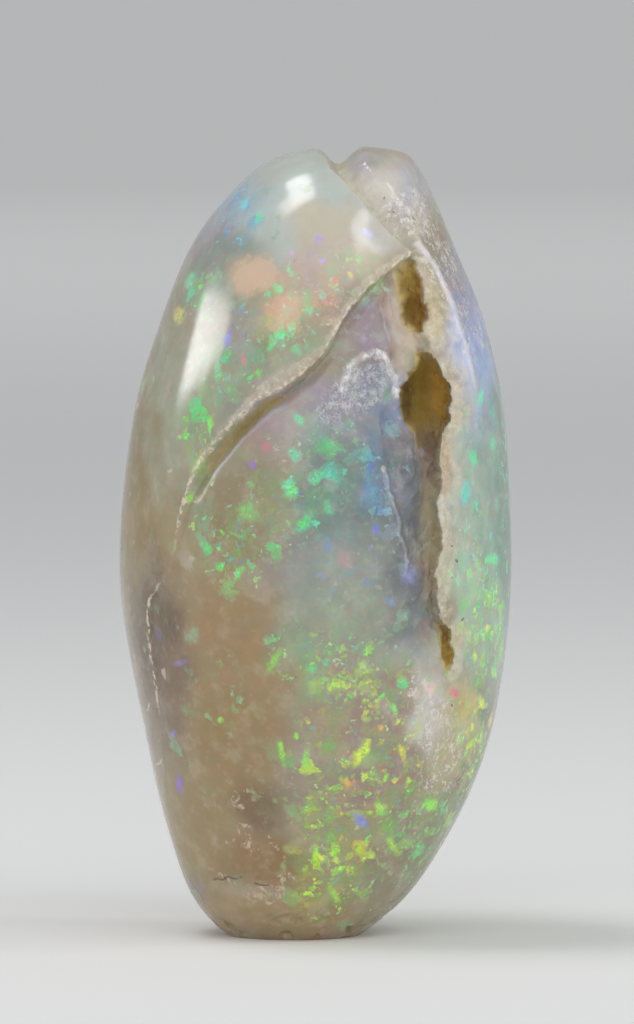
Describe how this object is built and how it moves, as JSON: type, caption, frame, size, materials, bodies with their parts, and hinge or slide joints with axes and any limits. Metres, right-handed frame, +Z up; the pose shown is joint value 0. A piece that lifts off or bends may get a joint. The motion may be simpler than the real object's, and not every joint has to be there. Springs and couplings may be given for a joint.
{
  "type": "opalized clam fossil",
  "caption": "Closed clam shell turned to opal, standing on its flat broken end, with beaks at the top and a slot that bares the filling.",
  "frame": {"origin": "centre of the object's outline at the level of its flat foot", "axes": "+Z up from the foot to the beaks, -Y towards the viewer of the side with the slot, +X to that viewer's right"},
  "size_m": [0.0199, 0.0228, 0.0401],
  "materials": {
    "opal": "polished milky opal with green, yellow and blue flakes of colour, and rough cream and ochre matrix in the slot"
  },
  "bodies": {
    "root": {"opalized_clam": "opal"}
  },
  "joints": []
}
